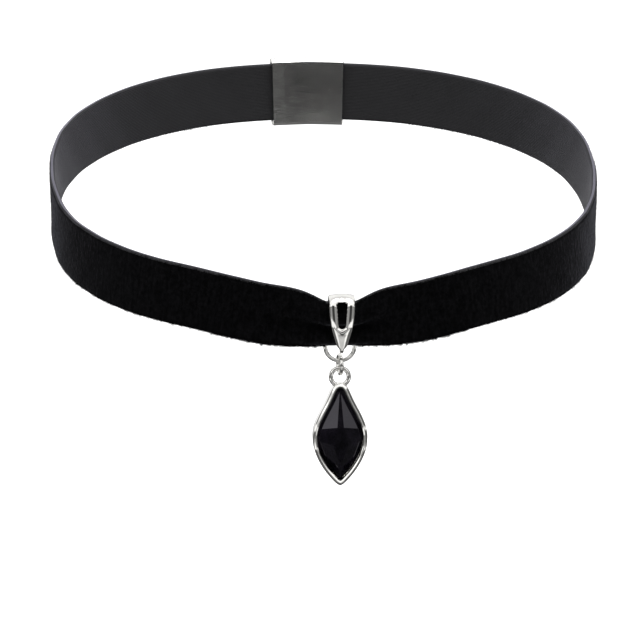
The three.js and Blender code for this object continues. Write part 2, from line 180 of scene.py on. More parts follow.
def fold_slant(share):
    """How far the gathered cloth slants from upright, in radians, at a share of its width."""
    bottom = 0
    for top, slant in FOLDS:
        if share < top:
            along = (share - bottom) / (top - bottom)
            return slant * math.radians(FOLD_SLANT) * math.sin(math.pi * along)
        bottom = top
    return 0


def cloth_line(gathered, steps):
    """The cloth's middle line from the lower to the upper edge as (up, out) pairs."""
    coarse = 16
    step = RIBBON_WIDTH / coarse
    line = [(-RIBBON_WIDTH / 2, 0)]
    for i in range(coarse):
        slant = gathered * fold_slant((i + 0.5) / coarse)
        up, out = line[-1]
        line.append((up + step * math.cos(slant), out + step * math.sin(slant)))
    outs = [out for _, out in line]
    centre = (max(outs) + min(outs)) / 2
    ups = [(i / coarse, line[i][0], line[i][1] - centre) for i in range(coarse + 1)]
    up_at = smooth_column(ups, 1)
    out_at = smooth_column(ups, 2)
    return [(up_at(i / steps), out_at(i / steps)) for i in range(steps + 1)]


def gather_at(distance):
    """How much the cloth is gathered, from 1 in the bail down to 0 away from it."""
    beyond = max(distance - BAIL_HALF_WIDTH - GAP, 0)
    return math.exp(-((beyond / FOLD_REACH) ** FOLD_FADE))


def new_object(name, mesh, finish=None):
    piece = bpy.data.objects.new(name, mesh)
    bpy.context.scene.collection.objects.link(piece)
    if finish:
        mesh.materials.append(finish)
    return piece


def mesh_from(name, points, faces):
    """A smooth mesh in metres from points in millimetres."""
    mesh = bpy.data.meshes.new(name)
    mesh.from_pydata([Vector(p) * MM for p in points], [], faces)
    mesh.update()
    mesh.polygons.foreach_set('use_smooth', [True] * len(mesh.polygons))
    return mesh


def skin(sections, ring=False):
    """Points and faces of a skin over closed sections, capped unless it is a ring."""
    count = len(sections[0])
    points = [point for section in sections for point in section]
    faces = []
    spans = len(sections) if ring else len(sections) - 1
    for i in range(spans):
        a = i * count
        b = ((i + 1) % len(sections)) * count
        for j in range(count):
            k = (j + 1) % count
            faces.append((a + j, b + j, b + k, a + k))
    if not ring:
        end = (len(sections) - 1) * count
        faces.append(tuple(range(count)))
        faces.append(tuple(end + j for j in reversed(range(count))))
    return points, faces


def add_part(points, faces, part):
    """Adds the points and faces of a part to a list of each."""
    start = len(points)
    points += part[0]
    faces += [tuple(start + v for v in face) for face in part[1]]


def outward(mesh):
    """Turns all faces outwards."""
    work = bmesh.new()
    work.from_mesh(mesh)
    bmesh.ops.recalc_face_normals(work, faces=work.faces)
    work.to_mesh(mesh)
    work.free()
    return mesh


TORUS_STEPS = 96
TORUS_SIDES = 28


def torus(centre, axis, outer, wire, cut=0):
    """Points and faces of a round link, or of one that is open by twice the cut angle below."""
    middle = (outer - wire) / 2
    turn = Vector((0, 0, 1)).rotation_difference(Vector(axis)).to_matrix()
    down = turn.inverted() @ Vector((0, 0, -1))
    start = math.atan2(down.y, down.x) + math.radians(cut)
    span = 2 * math.pi - 2 * math.radians(cut)
    sections = []
    for i in range(TORUS_STEPS if cut == 0 else TORUS_STEPS + 1):
        a = start + span * i / TORUS_STEPS
        section = []
        for j in range(TORUS_SIDES):
            b = 2 * math.pi * j / TORUS_SIDES
            r = middle + wire / 2 * math.cos(b)
            local = Vector((r * math.cos(a), r * math.sin(a), wire / 2 * math.sin(b)))
            section.append(Vector(centre) + turn @ local)
        sections.append(section)
    return skin(sections, ring=cut == 0)


def apply_modifiers(piece):
    graph = bpy.context.evaluated_depsgraph_get()
    mesh = bpy.data.meshes.new_from_object(piece.evaluated_get(graph))
    piece.modifiers.clear()
    old = piece.data
    piece.data = mesh
    bpy.data.meshes.remove(old)


# Materials
def material(name):
    """A new material with its nodes, links and shader."""
    made = bpy.data.materials.new(name)
    made.use_nodes = True
    nodes = made.node_tree.nodes
    return made, nodes, made.node_tree.links, nodes['Principled BSDF']


def add_node(nodes, kind, **values):
    """A new node, with its inputs and properties set by name."""
    node = nodes.new(kind)
    for key, value in values.items():
        if key in node.inputs:
            node.inputs[key].default_value = value
        else:
            setattr(node, key, value)
    return node


def object_noise(nodes, links, scale, detail=3, stretch=(1, 1, 1)):
    """Noise in the object's own space, drawn out along an axis whose stretch is below one."""
    where = nodes.new('ShaderNodeTexCoord')
    drawn = nodes.new('ShaderNodeMapping')
    drawn.inputs['Scale'].default_value = stretch
    links.new(where.outputs['Object'], drawn.inputs['Vector'])
    noise = add_node(nodes, 'ShaderNodeTexNoise', Scale=scale, Detail=detail, Roughness=0.6)
    links.new(drawn.outputs['Vector'], noise.inputs['Vector'])
    return noise


def ramp(nodes, links, source, low, high, dark, bright):
    """Maps a value to a colour between two stops."""
    node = nodes.new('ShaderNodeValToRGB')
    node.color_ramp.elements[0].position = low
    node.color_ramp.elements[1].position = high
    node.color_ramp.elements[0].color = (*dark, 1)
    node.color_ramp.elements[1].color = (*bright, 1)
    links.new(source, node.inputs['Fac'])
    return node


def map_range(nodes, links, source, from_min, from_max, to_min, to_max):
    """Maps a value from one range to another."""
    node = add_node(nodes, 'ShaderNodeMapRange')
    for index, value in enumerate((from_min, from_max, to_min, to_max), start=1):
        node.inputs[index].default_value = value
    links.new(source, node.inputs[0])
    return node


def bump(nodes, links, height, strength, distance, into):
    """Bump from a height, on a shader."""
    node = add_node(nodes, 'ShaderNodeBump', Strength=strength, Distance=distance)
    links.new(height, node.inputs['Height'])
    links.new(node.outputs['Normal'], into.inputs['Normal'])


def velvet_material(name, dark, bright, sheen):
    """Pile: soft clumps, and a nap combed in fine streaks across the ribbon."""
    made, nodes, links, shader = material(name)
    where = nodes.new('ShaderNodeTexCoord')
    combed = nodes.new('ShaderNodeMapping')
    combed.inputs['Scale'].default_value = (1, 0.16, 1)
    links.new(where.outputs['UV'], combed.inputs['Vector'])
    streaks = add_node(nodes, 'ShaderNodeTexNoise', Scale=1.7, Detail=4, Roughness=0.65)
    links.new(combed.outputs['Vector'], streaks.inputs['Vector'])
    clumps = object_noise(nodes, links, 1100)
    mixed = add_node(nodes, 'ShaderNodeMath', operation='MULTIPLY')
    links.new(streaks.outputs['Fac'], mixed.inputs[0])
    links.new(clumps.outputs['Fac'], mixed.inputs[1])
    tone = ramp(nodes, links, mixed.outputs[0], 0.17, 0.36, dark, bright)
    links.new(tone.outputs['Color'], shader.inputs['Base Color'])
    shader.inputs['Roughness'].default_value = 1
    shader.inputs['Specular IOR Level'].default_value = 0.05
    shader.inputs['Sheen Weight'].default_value = sheen
    shader.inputs['Sheen Roughness'].default_value = 0.32
    shader.inputs['Sheen Tint'].default_value = (0.86, 0.86, 1, 1)
    bump(nodes, links, mixed.outputs[0], 0.9, 0.0003, shader)
    return made


def woven_material(name, colour, roughness, per_mm_along, per_mm_across, sheen):
    """Threads that run along and across the ribbon, from its UV map in millimetres."""
    made, nodes, links, shader = material(name)
    where = nodes.new('ShaderNodeTexCoord')
    heights = []
    for axis, per_mm in (('X', per_mm_along), ('Y', per_mm_across)):
        wave = add_node(nodes, 'ShaderNodeTexWave', Scale=per_mm / math.pi, Distortion=0.4)
        wave.bands_direction = axis
        links.new(where.outputs['UV'], wave.inputs['Vector'])
        heights.append(wave)
    weave = add_node(nodes, 'ShaderNodeMath', operation='MULTIPLY')
    links.new(heights[0].outputs['Fac'], weave.inputs[0])
    links.new(heights[1].outputs['Fac'], weave.inputs[1])
    dark = tuple(c * 0.35 for c in colour)
    tone = ramp(nodes, links, weave.outputs[0], 0.05, 0.8, dark, colour)
    links.new(tone.outputs['Color'], shader.inputs['Base Color'])
    shader.inputs['Roughness'].default_value = roughness
    shader.inputs['Sheen Weight'].default_value = sheen
    shader.inputs['Sheen Roughness'].default_value = 0.4
    shader.inputs['Sheen Tint'].default_value = (0.88, 0.87, 1, 1)
    bump(nodes, links, weave.outputs[0], 0.7, 0.00008, shader)
    return made


def silver_material(name, colour, rough_low, rough_high, grain=420, stretch=(1, 1, 1)):
    """Plated metal, cloudy or brushed in lines, with a faint ripple of the casting."""
    made, nodes, links, shader = material(name)
    cloud = object_noise(nodes, links, grain, 4, stretch)
    rough = map_range(nodes, links, cloud.outputs['Fac'], 0.3, 0.75, rough_low, rough_high)
    links.new(rough.outputs[0], shader.inputs['Roughness'])
    shader.inputs['Metallic'].default_value = 1
    dull = tuple(c * 0.9 for c in colour)
    tone = ramp(nodes, links, cloud.outputs['Fac'], 0.35, 0.6, dull, colour)
    links.new(tone.outputs['Color'], shader.inputs['Base Color'])
    ripple = object_noise(nodes, links, 1500, 2, stretch)
    bump(nodes, links, ripple.outputs['Fac'], 0.06, 0.00003, shader)
    return made


def jet_material():
    """Black glass with a faint cloud and a little wear in its polish."""
    made, nodes, links, shader = material('jet_glass')
    dark, bright = (0.0006, 0.0006, 0.0009), (0.006, 0.005, 0.008)
    cloud = object_noise(nodes, links, 260)
    tone = ramp(nodes, links, cloud.outputs['Fac'], 0.35, 0.75, dark, bright)
    links.new(tone.outputs['Color'], shader.inputs['Base Color'])
    wear = object_noise(nodes, links, 700)
    rough = map_range(nodes, links, wear.outputs['Fac'], 0.4, 0.8, 0.03, 0.07)
    links.new(rough.outputs[0], shader.inputs['Roughness'])
    shader.inputs['IOR'].default_value = 1.56
    shader.inputs['Specular Tint'].default_value = (0.93, 0.9, 1, 1)
    bump(nodes, links, wear.outputs['Fac'], 0.03, 0.00002, shader)
    return made


PILE = velvet_material('velvet_pile', (0.0002, 0.0002, 0.0003), (0.0022, 0.0021, 0.0025), 0.11)
FIBRE = velvet_material('velvet_fibre', (0.0005, 0.0005, 0.0006), (0.0024, 0.0024, 0.0028), 0.06)
SATIN = woven_material('satin_back', (0.006, 0.0058, 0.008), 0.5, 6, 3, 0.14)
SELVEDGE = woven_material('woven_selvedge', (0.016, 0.015, 0.02), 0.7, 3.4, 2.6, 0.12)
# The upper edge's lilac-grey colour is partly the woven edge's own and partly a painted highlight,
# standing in for the sheen that grazing light raises there
EDGE_WITH_PAINTED_HIGHLIGHT = woven_material('woven_edge_painted_highlight', (0.09, 0.084, 0.12), 0.6, 3.4, 2.6, 0.8)
SILVER = silver_material('polished_silver', (0.935, 0.925, 0.895), 0.04, 0.09)
CLASP_SILVER = silver_material('clasp_silver', (0.8, 0.795, 0.775), 0.18, 0.26, 5200, (0.04, 1, 1))
JET = jet_material()


# Ribbon
ACROSS = 44
SELVEDGE_ROWS = 2
# Sections stand close together up to this angle from the front, where the cloth is gathered
GATHER_ANGLE = 26
GATHER_STEPS = 70
FREE_STEPS = 130
# The pile stands over the selvedge in a soft shoulder
SHOULDER_START = 0.35
SHOULDER_WIDTH = 0.5
# The back thins out towards both edges
BACK_SHARE = 0.9
BACK_EDGE = 0.4
BACK_RISE = 0.75
EDGE_SHARE = 0.7
# Waves of the cloth fade out before the bail and before the clasp
BAIL_FADE = 12
CLASP_ANGLE = 176
CLASP_FADE = 20
# Order of the ribbon's materials
PILE_SLOT, SELVEDGE_SLOT, SATIN_SLOT, EDGE_SLOT = range(4)


def ribbon_angles():
    """Angles from the front at which the ribbon has a section, close together in the gather."""
    last = 180 - math.degrees(RIBBON_ENDS_APART / 2 / LOOP_HALF_WIDTH)
    free = last - GATHER_ANGLE
    half = [GATHER_ANGLE * i / GATHER_STEPS for i in range(1, GATHER_STEPS + 1)]
    half += [GATHER_ANGLE + free * i / FREE_STEPS for i in range(1, FREE_STEPS + 1)]
    return [-a for a in reversed(half)] + [0] + half


def ripple(distance, share, side):
    """Small soft unevenness of the cloth, in millimetres."""
    slow = math.sin(0.21 * distance + 1.3 * side) * math.sin(math.pi * share)
    quick = math.sin(0.63 * distance + 5 * share + 2.1 * side)
    return 0.1 * slow + 0.035 * quick


def ribbon_section(degrees):
    """Outer and inner face points of the cloth at one angle, from the lower to the upper edge."""
    distance = LOOP_HALF_WIDTH * math.radians(abs(degrees))
    middle, up, out, _ = loop_frame(degrees)
    line = cloth_line(gather_at(distance), ACROSS)
    off_bail = clamp((distance - BAIL_HALF_WIDTH - 1) / BAIL_FADE)
    off_clasp = clamp((CLASP_ANGLE - abs(degrees)) / CLASP_FADE)
    half = RIBBON_THICKNESS / 2
    outer, inner = [], []
    for i, (u, o) in enumerate(line):
        share = i / ACROSS
        slope_up, slope_out = direction(line, i)
        edge = min(share, 1 - share) * RIBBON_WIDTH
        shoulder = ease((edge - SHOULDER_START) / SHOULDER_WIDTH)
        thick_out = half * (SELVEDGE_SHARE + (1 - SELVEDGE_SHARE) * shoulder)
        thick_in = half * (BACK_SHARE if edge > BACK_EDGE else SELVEDGE_SHARE + BACK_RISE * edge)
        if i in (0, ACROSS):
            thick_out = thick_in = half * SELVEDGE_SHARE * EDGE_SHARE
        o += ripple(distance, share, 1 if degrees > 0 else -1) * off_bail * off_clasp
        outer.append(middle + up * (u - slope_out * thick_out) + out * (o + slope_up * thick_out))
        inner.append(middle + up * (u + slope_out * thick_in) + out * (o - slope_up * thick_in))
    return outer, inner


ANGLES = ribbon_angles()
SECTIONS = [ribbon_section(a) for a in ANGLES]
ARC = [0]
for first, second in zip(ANGLES, ANGLES[1:]):
    ARC.append(ARC[-1] + (loop_point(second) - loop_point(first)).length)


def ribbon_piece():
    """The cloth: pile outside, satin inside, and a woven selvedge along its upper edge."""
    rows = ACROSS + 1
    count = 2 * rows
    points = []
    for outer, inner in SECTIONS:
        points += outer + inner[::-1]
    faces, slots, uvs = [], [], []
    for i in range(len(SECTIONS) - 1):
        a, b = i * count, (i + 1) * count
        for j in range(count):
            k = (j + 1) % count
            faces.append((a + j, b + j, b + k, a + k))
            on_outer = j < rows - 1
            place = j if on_outer else count - 2 - j
            # The upper edge face takes the edge material, lightened with a painted highlight
            if j == rows - 1:
                slots.append(EDGE_SLOT)
            elif place >= ACROSS - SELVEDGE_ROWS:
                slots.append(SELVEDGE_SLOT)
            elif on_outer or j == count - 1:
                slots.append(PILE_SLOT)
            else:
                slots.append(SATIN_SLOT)
            v0 = min(j, count - 1 - j) * RIBBON_WIDTH / ACROSS
            v1 = min(k, count - 1 - k) * RIBBON_WIDTH / ACROSS
            uvs += [(ARC[i], v0), (ARC[i + 1], v0), (ARC[i + 1], v1), (ARC[i], v1)]
    end = (len(SECTIONS) - 1) * count
    for j in range(rows - 1):
        other = count - 1 - j
        faces.append((j, j + 1, other - 1, other))
        faces.append((end + j, end + other, end + other - 1, end + j + 1))
        slots += [SELVEDGE_SLOT] * 2
        uvs += [(0, 0), (0, 1), (1, 1), (1, 0)] * 2
    mesh = mesh_from('velvet_ribbon', points, faces)
    layer = mesh.uv_layers.new(name='ribbon')
    layer.data.foreach_set('uv', [value for uv in uvs for value in uv])
    mesh.polygons.foreach_set('material_index', slots)
    piece = new_object('velvet_ribbon', mesh, PILE)
    for finish in (SELVEDGE, SATIN, EDGE_WITH_PAINTED_HIGHLIGHT):
        mesh.materials.append(finish)
    outward(mesh)
    return piece


def surface_point(place, share):
    """A point of the ribbon's outer face, by shares of its sections and of its width.

    With it come the face's normal and the ways along and across the ribbon.
    """
    at = place * (len(SECTIONS) - 1)
    i = min(int(at), len(SECTIONS) - 2)
    row = share * ACROSS
    j = min(int(row), ACROSS - 1)
    a, b = SECTIONS[i][0], SECTIONS[i + 1][0]
    low = a[j].lerp(b[j], at - i)
    high = a[j + 1].lerp(b[j + 1], at - i)
    along = (b[j] - a[j]).normalized()
    across = (high - low).normalized()
    return low.lerp(high, row - j), along.cross(across).normalized(), along, across


FACE_FIBRES = 52000
EDGE_FIBRES = 44000
FIBRE_WIDTH = 0.05
# Fibres on the face: their roots as shares of the width, lengths, spread and lean down the ribbon
FACE_ROOTS = (0.055, 0.945)
FACE_LENGTHS = (0.12, 0.3)
FACE_SPREAD = 0.35
FACE_LEAN = -0.15
# Fibres at the edges: their spread along, and how far they lean out of the face and over the edge
EDGE_SPREAD = 0.4
EDGE_LIFTS = (0.1, 0.8)
EDGE_LEANS = (0.4, 1.1)
# How many of the edge fibres stand at the lower edge, and each edge's roots and lengths
LOWER_EDGE_SHARE = 0.62
LOWER_ROOTS = (0, 0.06)
LOWER_LENGTHS = (0.25, 0.8)
UPPER_ROOTS = (0.03, 0.07)
UPPER_LENGTHS = (0.2, 0.5)
TUFT_WIDTH = 0.4
TUFT_LOW = 0.55
TUFT_SWING = 0.95
TUFT_COUNT = 900
TUFTS = [rng.random() for _ in range(TUFT_COUNT)]
# What the bail covers beyond its width, and the clasp before the nape
BAIL_MARGIN = 0.5
CLASP_REACH = 4


def covered(point):
    """Whether the bail or the clasp hides this point of the ribbon."""
    in_bail = abs(point.x) < BAIL_HALF_WIDTH + BAIL_MARGIN and point.y < 0
    return in_bail or point.y > LOOP_HALF_DEPTH - CLASP_REACH


def fibre(points, faces, root, tip, side):
    """Adds one fibre, a narrow triangle."""
    start = len(points)
    points += [root - side * FIBRE_WIDTH / 2, root + side * FIBRE_WIDTH / 2, tip]
    faces.append((start, start + 1, start + 2))


def tuft(arc):
    """How far the pile stands out at a place along the ribbon: uneven, in small tufts."""
    cell, part = divmod(arc / TUFT_WIDTH, 1)
    first, second = (TUFTS[(int(cell) + step) % TUFT_COUNT] for step in (0, 1))
    return TUFT_LOW + TUFT_SWING * (first + (second - first) * part) ** 2


def pile_piece():
    """Pile that stands out over the cloth and along its two edges."""
    points, faces = [], []
    for _ in range(FACE_FIBRES):
        share = rng.uniform(*FACE_ROOTS)
        root, normal, along, across = surface_point(rng.random(), share)
        if covered(root):
            continue
        sideways, lean = rng.gauss(0, FACE_SPREAD), rng.gauss(FACE_LEAN, FACE_SPREAD)
        way = (normal + along * sideways + across * lean).normalized()
        fibre(points, faces, root, root + way * rng.uniform(*FACE_LENGTHS), along)
    for _ in range(EDGE_FIBRES):
        lower = rng.random() < LOWER_EDGE_SHARE
        share = rng.uniform(*LOWER_ROOTS) if lower else 1 - rng.uniform(*UPPER_ROOTS)
        place = rng.random()
        root, normal, along, across = surface_point(place, share)
        if covered(root):
            continue
        away = -across if lower else across
        sideways = rng.gauss(0, EDGE_SPREAD)
        lift, lean = rng.uniform(*EDGE_LIFTS), rng.uniform(*EDGE_LEANS)
        way = (normal * lift + away * lean + along * sideways).normalized()
        reach = rng.uniform(*(LOWER_LENGTHS if lower else UPPER_LENGTHS))
        fibre(points, faces, root, root + way * reach * tuft(place * ARC[-1]), along)
    mesh = mesh_from('velvet_pile_fibres', points, faces)
    return new_object('velvet_pile_fibres', mesh, FIBRE)


PICOT_STEP = 0.62
PICOT_PLACE = 0.988
PICOT_SUNK = 0.3
PICOT_HALF = 0.2
PICOT_FOOT = 0.05
PICOT_RISE = 0.13
THREAD_DEPTH = 0.13
THREAD_HEIGHT = 0.1


def picots_piece():
    """Small loops of the weft thread along the upper selvedge."""
    points, faces = [], []
    for i in range(int(ARC[-1] / PICOT_STEP)):
        arc = (i + 0.5) * PICOT_STEP + rng.uniform(-0.05, 0.05)
        index = next(n for n, value in enumerate(ARC) if value > arc)
        part = (arc - ARC[index - 1]) / (ARC[index] - ARC[index - 1])
        place = (index - 1 + part) / (len(SECTIONS) - 1)
        at, normal, along, across = surface_point(place, PICOT_PLACE)
        if covered(at):
            continue
        sections = []
        for k in range(4):
            a = math.pi * k / 3
            middle = (at - normal * PICOT_SUNK + along * PICOT_HALF * math.cos(a)
                      + across * (PICOT_FOOT + PICOT_RISE * math.sin(a)))
            sections.append([
                middle + normal * THREAD_DEPTH * math.cos(b) + across * THREAD_HEIGHT * math.sin(b)
                for b in (2 * math.pi * s / 5 for s in range(5))
            ])
        add_part(points, faces, skin(sections))
    mesh = outward(mesh_from('selvedge_picots', points, faces))
    return new_object('selvedge_picots', mesh, SELVEDGE)


ribbon = ribbon_piece()
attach(ribbon, 'choker')
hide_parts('ribbon')
pile = pile_piece()
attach(pile, 'choker')
picots = picots_piece()
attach(picots, 'choker')


# Bail
LINE = cloth_line(1, 64)
CLOTH_HALF = RIBBON_THICKNESS / 2


def cloth_reach():
    """Top, bottom and half depth of the gathered cloth, and how far out its edges lie."""
    ups, outs, edge_out = [], [], 0
    for i, (u, o) in enumerate(LINE):
        slope_up, slope_out = direction(LINE, i)
        edge = i in (0, len(LINE) - 1)
        half = CLOTH_HALF * (SELVEDGE_SHARE if edge else 1)
        ups += [u - half * slope_out, u + half * slope_out]
        outs += [o + half * slope_up, o - half * slope_up]
        if edge:
            edge_out = max(edge_out, abs(o) + half * slope_up)
    return max(ups), min(ups), max(abs(o) for o in outs), edge_out


CLOTH_TOP, CLOTH_BOTTOM, CLOTH_DEPTH, EDGE_OUT = cloth_reach()
BAIL_INNER = CLOTH_DEPTH + GAP
BAIL_MIDDLE = BAIL_INNER + BAIL_METAL / 2
BEND = math.sqrt(max(1 - (EDGE_OUT / BAIL_INNER) ** 2, 0))
LEAF_TOP = CLOTH_TOP + GAP - (ARCH_RISE - BAIL_METAL / 2) * BEND
LEAF_BOTTOM = CLOTH_BOTTOM - GAP + (FOOT_DROP - BAIL_FOOT_METAL / 2) * BEND
BAIL_TOP = LEAF_TOP + ARCH_RISE
FRONT, FRONT_UP, FRONT_OUT, _ = loop_frame(0)
FRONT_LEAN = math.atan2(-FRONT_UP.y, FRONT_UP.z)
SEAT = Matrix.Translation(FRONT) @ Matrix.Rotation(FRONT_LEAN, 4, 'X')
RING_MIDDLE = (BAIL_RING_OUTER - BAIL_RING_WIRE) / 2
RING_OUT = SOLDER_DEPTH - BAIL_MIDDLE - BAIL_METAL / 2 - BAIL_RING_WIRE / 2
RING_UP = CLOTH_BOTTOM - BAIL_RING_BELOW_EDGE
SLOT_BOTTOM = CLOTH_BOTTOM + SLOT_ABOVE_EDGE
SLOT_TOP = SLOT_BOTTOM + SLOT_LENGTH
SLOT_SPARE = 0.05
SLOT_ARC_STEPS = 16
CUT_BEHIND = 0.2
CUT_BEFORE = 1
LEAF_STEPS = 70
BEND_STEPS = 46
LEAF_BOW = 0.4
SECTION_POINTS = 32
# The strap is thinner behind the arms and gains its full metal towards the top of the arch
STRAP_SHARE = 0.62
STRAP_SQUARENESS = 0.55
ARM_METAL = 1.2 * BAIL_METAL
ARM_SHARE = 0.99
ARM_END = LEAF_STEPS + BEND_STEPS * 5 // 8
# Under the slot and over the arch each arm crosses the middle by this share of its half width
ARM_CROSSES = 0.8
JOIN_ABOVE_SLOT_END = 0.35
JOIN_LENGTH = 1.5
FUSE_VOXEL = 0.063
SOFTEN_STEPS = 8


def bail_line():
    """The strap's middle line as (out, up), from the foot up the slightly bowed front leaf."""
    height = LEAF_TOP - LEAF_BOTTOM
    line = []
    for i in range(LEAF_STEPS):
        bow = LEAF_BOW * math.sin(math.pi * i / LEAF_STEPS)
        line.append((BAIL_MIDDLE + bow, LEAF_BOTTOM + height * i / LEAF_STEPS))
    turns = [math.pi * i / BEND_STEPS for i in range(BEND_STEPS)]
    line += [(BAIL_MIDDLE * math.cos(t), LEAF_TOP + ARCH_RISE * math.sin(t)) for t in turns]
    line += [(-BAIL_MIDDLE, LEAF_TOP - height * i / LEAF_STEPS) for i in range(LEAF_STEPS)]
    line += [(-BAIL_MIDDLE * math.cos(t), LEAF_BOTTOM - FOOT_DROP * math.sin(t)) for t in turns]
    return line


def line_frames():
    """The strap's middle line with the way that its outer face points and its half width."""
    line = bail_line()
    frames = []
    for i, (o, u) in enumerate(line):
        before, after = line[i - 1], line[(i + 1) % len(line)]
        along = math.hypot(after[0] - before[0], after[1] - before[1])
        side = ((after[1] - before[1]) / along, -(after[0] - before[0]) / along)
        height = clamp((u - LEAF_BOTTOM) / (BAIL_TOP - LEAF_BOTTOM))
        frames.append((o, u, side, BAIL_HALF_WIDTH * taper_at(height)))
    return frames


def rounded_section(centre, half, thick, place, squareness):
    """A closed section of the strap: wide along x, and thick the way that the face points.

    It is an ellipse where the squareness is 1, and squarer below that.
    """
    o, u, side = place
    section = []
    for k in range(SECTION_POINTS):
        a = 2 * math.pi * k / SECTION_POINTS
        x = centre + half * math.copysign(abs(math.cos(a)) ** squareness, math.cos(a))
        off = math.copysign(abs(math.sin(a)) ** squareness, math.sin(a)) * thick / 2
        section.append((x, -(o + side[0] * off), u + side[1] * off))
    return section


def unit_mesh(name, points, faces):
    """A working mesh that stays in millimetres."""
    mesh = bpy.data.meshes.new(name)
    mesh.from_pydata([Vector(p) for p in points], [], faces)
    mesh.update()
    return outward(mesh)


def strap_mesh():
    """The bail's strap, thin behind the rounded arms of its front leaf."""
    sections = []
    for i, (o, u, side, half) in enumerate(line_frames()):
        sunk = clamp((LEAF_BOTTOM - u) / FOOT_DROP)
        metal = BAIL_METAL + (BAIL_FOOT_METAL - BAIL_METAL) * sunk
        past_arms = clamp((i - LEAF_STEPS - BEND_STEPS // 4) / (BEND_STEPS / 4))
        metal *= STRAP_SHARE + (1 - STRAP_SHARE) * past_arms
        sections.append(rounded_section(0, half, metal, (o, u, side), STRAP_SQUARENESS))
    return unit_mesh('strap', *skin(sections, ring=True))


def arm_mesh(side_sign):
    """One rounded arm beside the slot, which joins the other below it in a shallow groove."""
    sections = []
    for i, (o, u, side, half) in enumerate(line_frames()[:ARM_END]):
        outer = half * ARM_SHARE
        rise = clamp((u - SLOT_BOTTOM) / SLOT_LENGTH)
        inner = SLOT_END_HALF_WIDTH + (SLOT_HALF_WIDTH - SLOT_END_HALF_WIDTH) * rise
        crossed = -outer * ARM_CROSSES
        under = ease((SLOT_BOTTOM + JOIN_ABOVE_SLOT_END - u) / JOIN_LENGTH)
        inner += (crossed - inner) * under
        over = clamp((i - LEAF_STEPS - BEND_STEPS / 8) / (BEND_STEPS / 2))
        inner += (crossed - inner) * over
        centre = side_sign * (inner + outer) / 2
        sections.append(rounded_section(centre, (outer - inner) / 2, ARM_METAL, (o, u, side), 1))
    return unit_mesh('arm', *skin(sections))


def slot_mesh():
    """The slot's cutter, from behind the front leaf to before it."""
    half = SLOT_HALF_WIDTH + SLOT_SPARE
    end_half = SLOT_END_HALF_WIDTH + SLOT_SPARE
    outline = [(-half, SLOT_TOP)]
    for k in range(SLOT_ARC_STEPS + 1):
        a = math.pi + math.pi * k / SLOT_ARC_STEPS
        outline.append((
            end_half * math.cos(a),
            SLOT_BOTTOM + SLOT_END_HALF_WIDTH + SLOT_END_HALF_WIDTH * math.sin(a),
        ))
    outline.append((half, SLOT_TOP))
    sections = []
    for y in (CUT_BEHIND - CLOTH_DEPTH, -BAIL_MIDDLE - CUT_BEFORE):
        sections.append([(x, y, z) for x, z in outline])
    return unit_mesh('slot', *skin(sections))


def bail_piece():
    """The strap with its slot, the arms and the soldered ring, fused and softened into one."""
    strap = new_object('bail_polished', strap_mesh())
    cutter = new_object('slot_cutter', slot_mesh())
    cut = strap.modifiers.new('slot', 'BOOLEAN')
    cut.operation = 'DIFFERENCE'
    cut.object = cutter
    cut.solver = 'EXACT'
    apply_modifiers(strap)
    bpy.data.objects.remove(cutter)
    ring = torus((0, -RING_OUT, RING_UP), (0, 1, 0), BAIL_RING_OUTER, BAIL_RING_WIRE)
    work = bmesh.new()
    for mesh in (strap.data, arm_mesh(1), arm_mesh(-1), unit_mesh('ring', *ring)):
        work.from_mesh(mesh)
    work.to_mesh(strap.data)
    work.free()
    remesh = strap.modifiers.new('fuse', 'REMESH')
    remesh.mode = 'VOXEL'
    remesh.voxel_size = FUSE_VOXEL
    soften = strap.modifiers.new('soften', 'SMOOTH')
    soften.factor = 0.5
    soften.iterations = SOFTEN_STEPS
    apply_modifiers(strap)
    strap.data.transform(SEAT)
    strap.data.transform(Matrix.Scale(MM, 4))
    strap.data.polygons.foreach_set('use_smooth', [True] * len(strap.data.polygons))
    strap.data.materials.append(SILVER)
    return strap


bail = bail_piece()
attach(bail, 'choker')
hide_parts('bail')


# Jump ring
HANG = FRONT + FRONT_UP * (RING_UP - RING_MIDDLE) + FRONT_OUT * RING_OUT
JUMP_MIDDLE = (JUMP_RING_OUTER - JUMP_RING_WIRE) / 2
JUMP_Z = HANG.z + BAIL_RING_WIRE / 2 + GAP + JUMP_RING_WIRE / 2 - JUMP_MIDDLE
JUMP_AXIS = (math.cos(math.radians(JUMP_RING_TURN)), math.sin(math.radians(JUMP_RING_TURN)), 0)
jump_torus = torus((0, HANG.y, JUMP_Z), JUMP_AXIS, JUMP_RING_OUTER, JUMP_RING_WIRE)
jump = new_object('jump_link', outward(mesh_from('jump_link', *jump_torus)), SILVER)
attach(jump, 'link')
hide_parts('jump_ring')


# Setting
LOOP_MIDDLE = (DROP_LOOP_OUTER - DROP_LOOP_WIRE) / 2
LOOP_UP = LOOP_MIDDLE - LOOP_SUNK_IN_SETTING
DROP_LOOP_Z = JUMP_Z - JUMP_MIDDLE + JUMP_RING_WIRE / 2 + GAP + DROP_LOOP_WIRE / 2 - LOOP_MIDDLE
DROP_TOP = Vector((0, HANG.y, DROP_LOOP_Z - LOOP_UP))
SETTING_BACK = LOOP_BEHIND_MIDDLE - SETTING_DEPTH / 2
SETTING_RIM = LOOP_BEHIND_MIDDLE + SETTING_DEPTH / 2
OUTLINE_FINENESS = 14
OUTLINE_STEPS = 120
# A point of an inset line is kept where it is this share of the inset away from the whole outline
INSET_KEPT = 0.97
MIDDLE_CLEAR = 0.02


